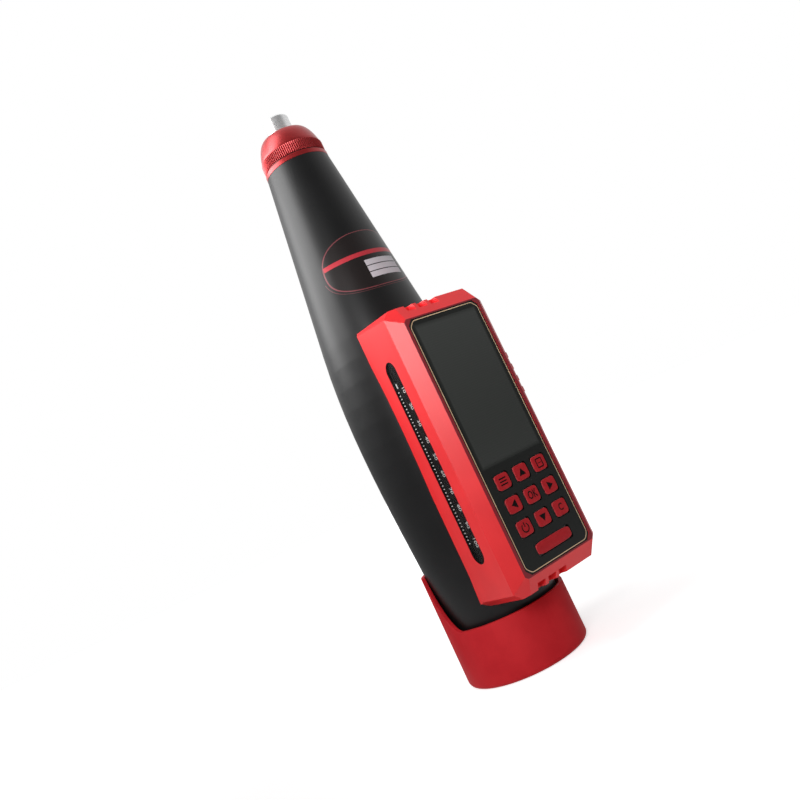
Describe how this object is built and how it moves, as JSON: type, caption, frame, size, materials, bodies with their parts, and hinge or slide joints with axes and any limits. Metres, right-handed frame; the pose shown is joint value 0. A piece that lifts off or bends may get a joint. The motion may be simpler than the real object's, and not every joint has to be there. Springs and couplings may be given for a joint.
{
  "type": "concrete test rebound hammer",
  "caption": "Hand-held rebound hammer for testing concrete: tapered tube with a spring-driven plunger at the nose and a display housing with keys on its side.",
  "frame": {"origin": "centre of the flat bottom of the rear boot, on the tube's axis", "axes": "+Z along the tube to the nose and plunger, -Y out of the display, -X out of the scale window"},
  "size_m": [0.0582, 0.0801, 0.274],
  "materials": {
    "boot_red": "matt moulded red",
    "tube_black": "black coated, satin",
    "cover_alloy": "turned",
    "spring_steel": "drawn wire",
    "screw_steel": "bright",
    "nose_red": "red anodised",
    "sleeve_brass": "turned",
    "felt": "felt",
    "hard_steel": "ground",
    "rider_white": "white",
    "button_black": "black",
    "housing_red": "moulded red, satin",
    "clear_window": "clear",
    "scale_black": "black, printed white",
    "panel_black": "black film",
    "display_dark": "dark clear",
    "board_green": "glass epoxy board",
    "module_dark": "black",
    "mat_grey": "silicone",
    "battery_blue": "sleeved",
    "key_red": "dark translucent red"
  },
  "bodies": {
    "casing": {"end_boot": "boot_red", "body_tube": "tube_black", "rear_cover": "cover_alloy", "trip_screw": "screw_steel", "trip_lock_nut": "screw_steel", "main_spring": "spring_steel", "nose_cap": "nose_red", "guide_sleeve": "sleeve_brass", "two_part_ring": "cover_alloy", "felt_seal": "felt", "impact_spring": "spring_steel", "rider_rod": "screw_steel", "lock_spring": "spring_steel", "display_housing": "housing_red", "scale_window": "clear_window", "scale_plate": "scale_black", "front_panel": "panel_black", "display_window": "display_dark", "display_module": "module_dark", "keypad_mat": "mat_grey", "circuit_board": "board_green", "sensor_board": "board_green", "battery": "battery_blue", "speaker": "module_dark", "mounting_saddle": "cover_alloy", "saddle_screws": "screw_steel"},
    "plunger": {"impact_plunger": "hard_steel", "buffer_spring": "spring_steel", "guide_bar": "hard_steel", "guide_disk": "hard_steel", "pawl_pin": "screw_steel", "pawl_spring": "spring_steel"},
    "pawl": {"pawl": "hard_steel"},
    "hammer": {"hammer_mass": "hard_steel"},
    "rider": {"rider": "rider_white"},
    "lock_button": {"lock_button": "button_black"},
    "key_top_left": {"key_top_left": "key_red"},
    "key_up": {"key_up": "key_red"},
    "key_top_right": {"key_top_right": "key_red"},
    "key_left": {"key_left": "key_red"},
    "key_ok": {"key_ok": "key_red"},
    "key_right": {"key_right": "key_red"},
    "key_power": {"key_power": "key_red"},
    "key_down": {"key_down": "key_red"},
    "key_clear": {"key_clear": "key_red"},
    "key_wide": {"key_wide": "key_red"}
  },
  "joints": [
    {"name": "plunger_slide", "type": "slide", "parent": "casing", "child": "plunger", "axis": [0, 0, 1], "range_m": [0, 0.075], "deforming": ["main_spring"]},
    {"name": "pawl_hinge", "type": "hinge", "parent": "plunger", "child": "pawl", "pos_m": [0.015, 0, 0.0345], "axis": [0, 1, 0], "range_deg": [0, 8], "stiffness_Nm_per_rad": 0.06, "springref_deg": -20.05},
    {"name": "hammer_slide", "type": "slide", "parent": "casing", "child": "hammer", "axis": [0, 0, 1], "range_m": [-0.075, 0], "stiffness_N_per_m": 785, "springref_m": 0.008, "deforming": ["impact_spring"]},
    {"name": "rider_slide", "type": "slide", "parent": "casing", "child": "rider", "axis": [0, 0, -1], "range_m": [0, 0.07]},
    {"name": "lock_button_press", "type": "slide", "parent": "casing", "child": "lock_button", "axis": [0, -1, 0], "range_m": [0, 0.0024], "stiffness_N_per_m": 900, "springref_m": -0.001, "deforming": ["lock_spring"]},
    {"name": "key_top_left_press", "type": "slide", "parent": "casing", "child": "key_top_left", "axis": [0, 1, 0], "range_m": [0, 0.0005], "stiffness_N_per_m": 800, "springref_m": -0.0005},
    {"name": "key_up_press", "type": "slide", "parent": "casing", "child": "key_up", "axis": [0, 1, 0], "range_m": [0, 0.0005], "stiffness_N_per_m": 800, "springref_m": -0.0005},
    {"name": "key_top_right_press", "type": "slide", "parent": "casing", "child": "key_top_right", "axis": [0, 1, 0], "range_m": [0, 0.0005], "stiffness_N_per_m": 800, "springref_m": -0.0005},
    {"name": "key_left_press", "type": "slide", "parent": "casing", "child": "key_left", "axis": [0, 1, 0], "range_m": [0, 0.0005], "stiffness_N_per_m": 800, "springref_m": -0.0005},
    {"name": "key_ok_press", "type": "slide", "parent": "casing", "child": "key_ok", "axis": [0, 1, 0], "range_m": [0, 0.0005], "stiffness_N_per_m": 800, "springref_m": -0.0005},
    {"name": "key_right_press", "type": "slide", "parent": "casing", "child": "key_right", "axis": [0, 1, 0], "range_m": [0, 0.0005], "stiffness_N_per_m": 800, "springref_m": -0.0005},
    {"name": "key_power_press", "type": "slide", "parent": "casing", "child": "key_power", "axis": [0, 1, 0], "range_m": [0, 0.0005], "stiffness_N_per_m": 800, "springref_m": -0.0005},
    {"name": "key_down_press", "type": "slide", "parent": "casing", "child": "key_down", "axis": [0, 1, 0], "range_m": [0, 0.0005], "stiffness_N_per_m": 800, "springref_m": -0.0005},
    {"name": "key_clear_press", "type": "slide", "parent": "casing", "child": "key_clear", "axis": [0, 1, 0], "range_m": [0, 0.0005], "stiffness_N_per_m": 800, "springref_m": -0.0005},
    {"name": "key_wide_press", "type": "slide", "parent": "casing", "child": "key_wide", "axis": [0, 1, 0], "range_m": [0, 0.0005], "stiffness_N_per_m": 800, "springref_m": -0.0005}
  ]
}
